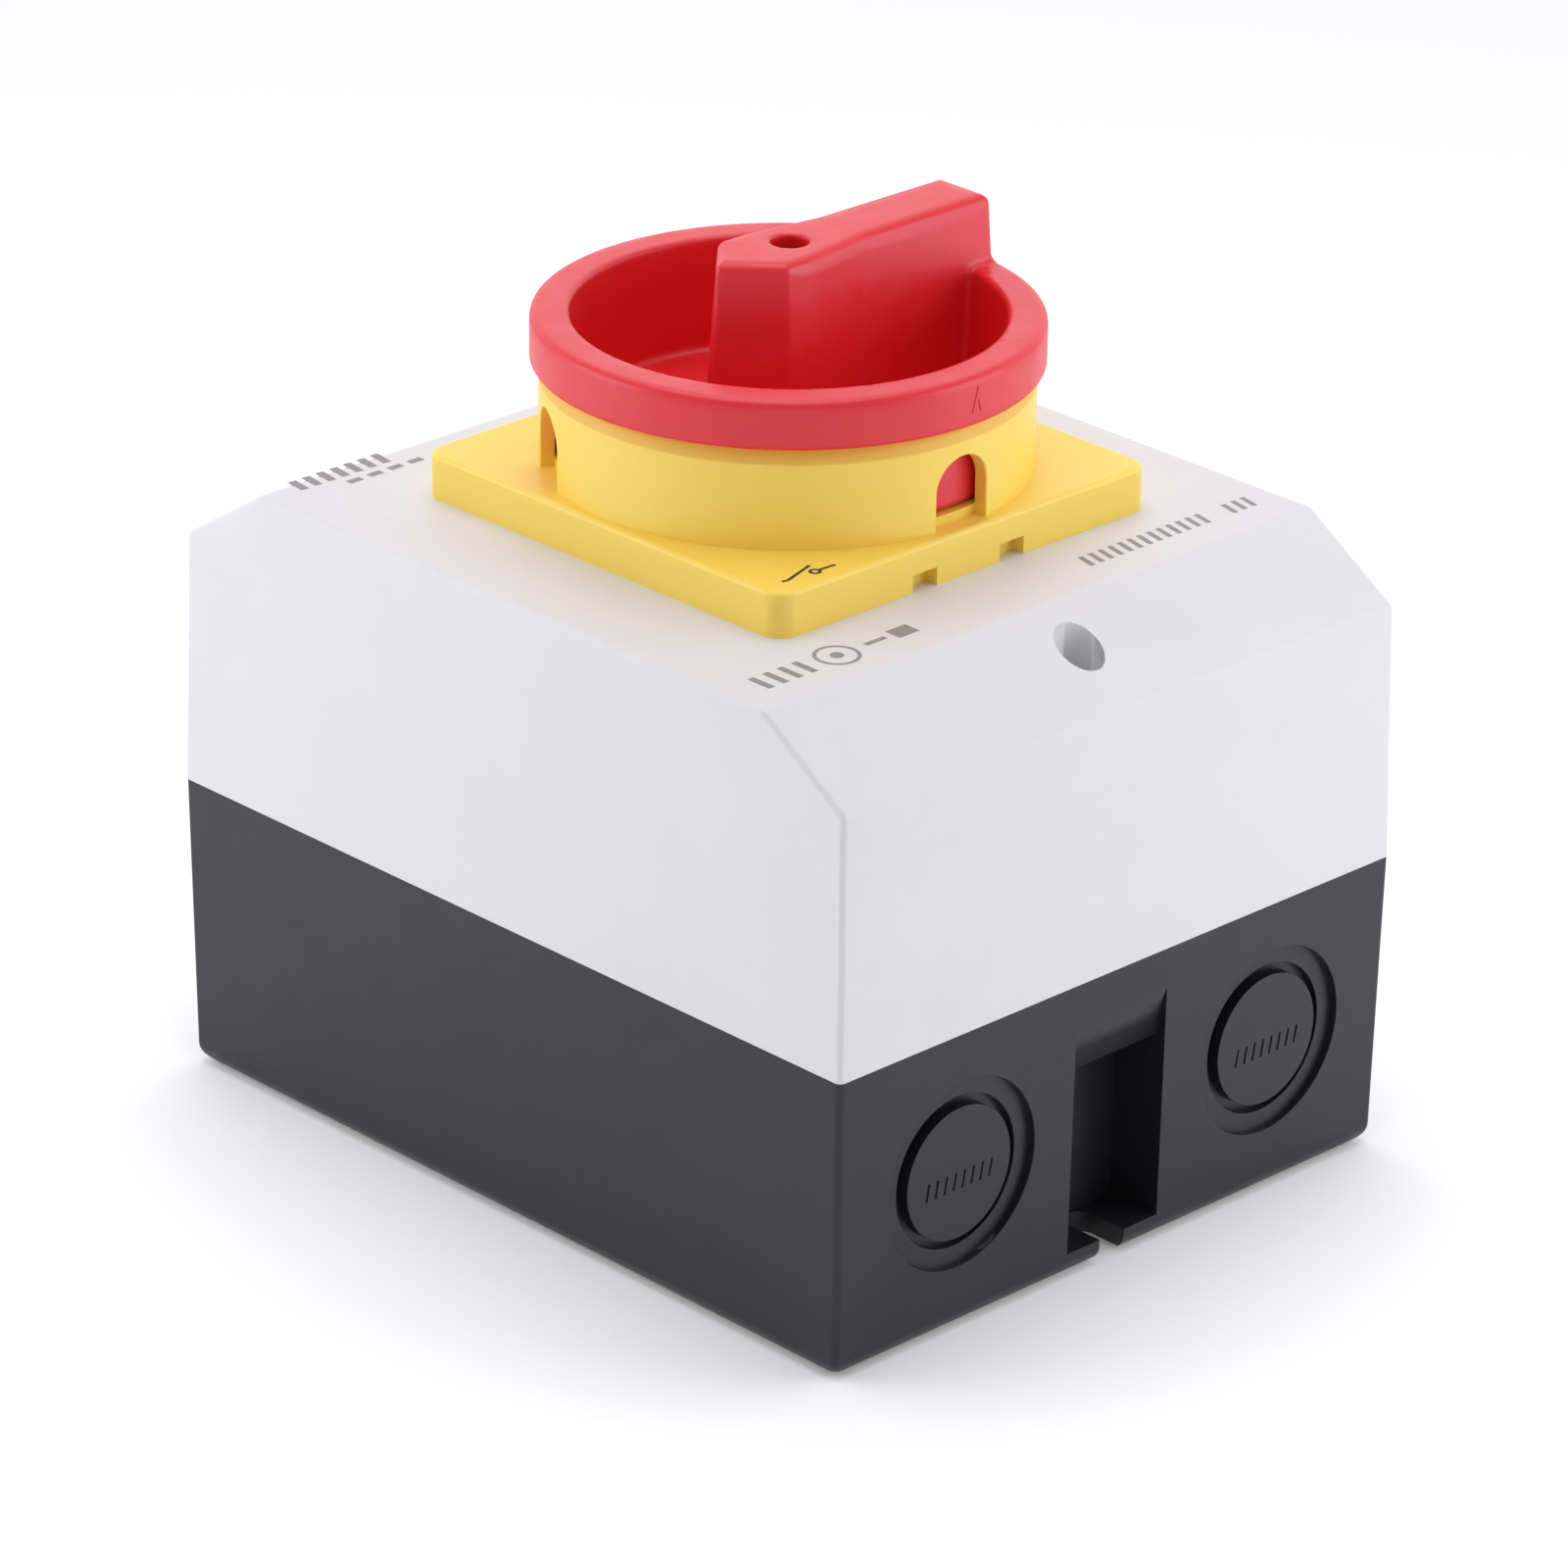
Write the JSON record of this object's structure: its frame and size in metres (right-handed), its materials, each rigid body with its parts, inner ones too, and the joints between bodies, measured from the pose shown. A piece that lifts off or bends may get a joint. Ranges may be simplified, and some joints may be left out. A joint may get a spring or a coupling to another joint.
{
  "type": "rotary isolator switch",
  "caption": "Enclosed rotary isolator switch with a red padlockable handle on a yellow plate, light grey cover, black base, cable knockouts and cam-driven contacts.",
  "frame": {"origin": "centre of the rectangular footprint on the flat back face, which goes against the wall", "axes": "+Z from the wall face out to the handle, along the handle's axis; +Y along the length of the box; +X across its width, the way the handle points when the contacts are closed"},
  "size_m": [0.098, 0.122, 0.1194],
  "materials": {
    "base_plastic": "satin charcoal moulding",
    "cover_plastic": "matt light grey moulding",
    "escutcheon_plastic": "semi-gloss yellow moulding",
    "handle_plastic": "satin red moulding",
    "seal_rubber": "matt black",
    "zinc_steel": "zinc-plated",
    "spring_steel": "bright drawn",
    "shaft_steel": "bright drawn",
    "switch_plastic": "matt black moulding",
    "chamber_plastic": "matt dark grey moulding",
    "cam_plastic": "ivory acetal",
    "contact_copper": "silver-tipped copper strip",
    "bar_brass": "drawn brass"
  },
  "bodies": {
    "enclosure": {"base_enclosure": "base_plastic", "cover": "cover_plastic", "cover_gasket": "seal_rubber", "cover_screws": "zinc_steel", "cover_screw_seals": "seal_rubber", "escutcheon_plate": "escutcheon_plastic", "escutcheon_seal": "seal_rubber", "escutcheon_screws": "zinc_steel", "mounting_plate": "zinc_steel", "mounting_plate_screws": "zinc_steel", "switch_base": "switch_plastic", "switch_fixing_screws": "zinc_steel", "contact_chamber_1": "chamber_plastic", "contact_spring_1": "spring_steel", "line_contact_1": "contact_copper", "load_contact_1": "contact_copper", "contact_chamber_2": "chamber_plastic", "contact_spring_2": "spring_steel", "line_contact_2": "contact_copper", "load_contact_2": "contact_copper", "contact_chamber_3": "chamber_plastic", "contact_spring_3": "spring_steel", "line_contact_3": "contact_copper", "load_contact_3": "contact_copper", "terminal_clamps": "zinc_steel", "terminal_screws": "zinc_steel", "detent_housing": "switch_plastic", "detent_springs": "spring_steel", "switch_top_plate": "switch_plastic", "tie_bolts": "zinc_steel", "tie_bolt_nuts": "zinc_steel", "earth_bar": "bar_brass", "neutral_bar": "bar_brass", "bar_clamp_screws": "zinc_steel", "bar_fixing_screws": "zinc_steel"},
    "handle_and_cams": {"handle": "handle_plastic", "handle_screw": "zinc_steel", "handle_seal": "seal_rubber", "handle_retaining_ring": "spring_steel", "handle_shaft": "shaft_steel", "shaft_coupling": "switch_plastic", "coupling_set_screw": "spring_steel", "switch_shaft": "shaft_steel", "cam_1": "cam_plastic", "cam_2": "cam_plastic", "cam_3": "cam_plastic", "detent_wheel": "cam_plastic", "stop_disc": "zinc_steel"},
    "moving_contact_1": {"contact_carrier_1": "cam_plastic", "contact_bridge_1": "contact_copper"},
    "moving_contact_2": {"contact_carrier_2": "cam_plastic", "contact_bridge_2": "contact_copper"},
    "moving_contact_3": {"contact_carrier_3": "cam_plastic", "contact_bridge_3": "contact_copper"}
  },
  "joints": [
    {"name": "handle_turn", "type": "hinge", "parent": "enclosure", "child": "handle_and_cams", "pos_m": [0, 0, 0.0956], "axis": [0, 0, 1], "range_deg": [0, 90], "deforming": ["detent_springs"]},
    {"name": "contact_slide_1", "type": "slide", "parent": "enclosure", "child": "moving_contact_1", "axis": [1, 0, 0], "range_m": [0, 0.0035], "deforming": ["contact_spring_1"]},
    {"name": "contact_slide_2", "type": "slide", "parent": "enclosure", "child": "moving_contact_2", "axis": [1, 0, 0], "range_m": [0, 0.0035], "deforming": ["contact_spring_2"]},
    {"name": "contact_slide_3", "type": "slide", "parent": "enclosure", "child": "moving_contact_3", "axis": [1, 0, 0], "range_m": [0, 0.0035], "deforming": ["contact_spring_3"]}
  ],
  "couplings": [
    {"joint": "contact_slide_1", "follows": "handle_turn", "m_per_rad": 0.0022281},
    {"joint": "contact_slide_2", "follows": "handle_turn", "m_per_rad": 0.0022281},
    {"joint": "contact_slide_3", "follows": "handle_turn", "m_per_rad": 0.0022281}
  ]
}
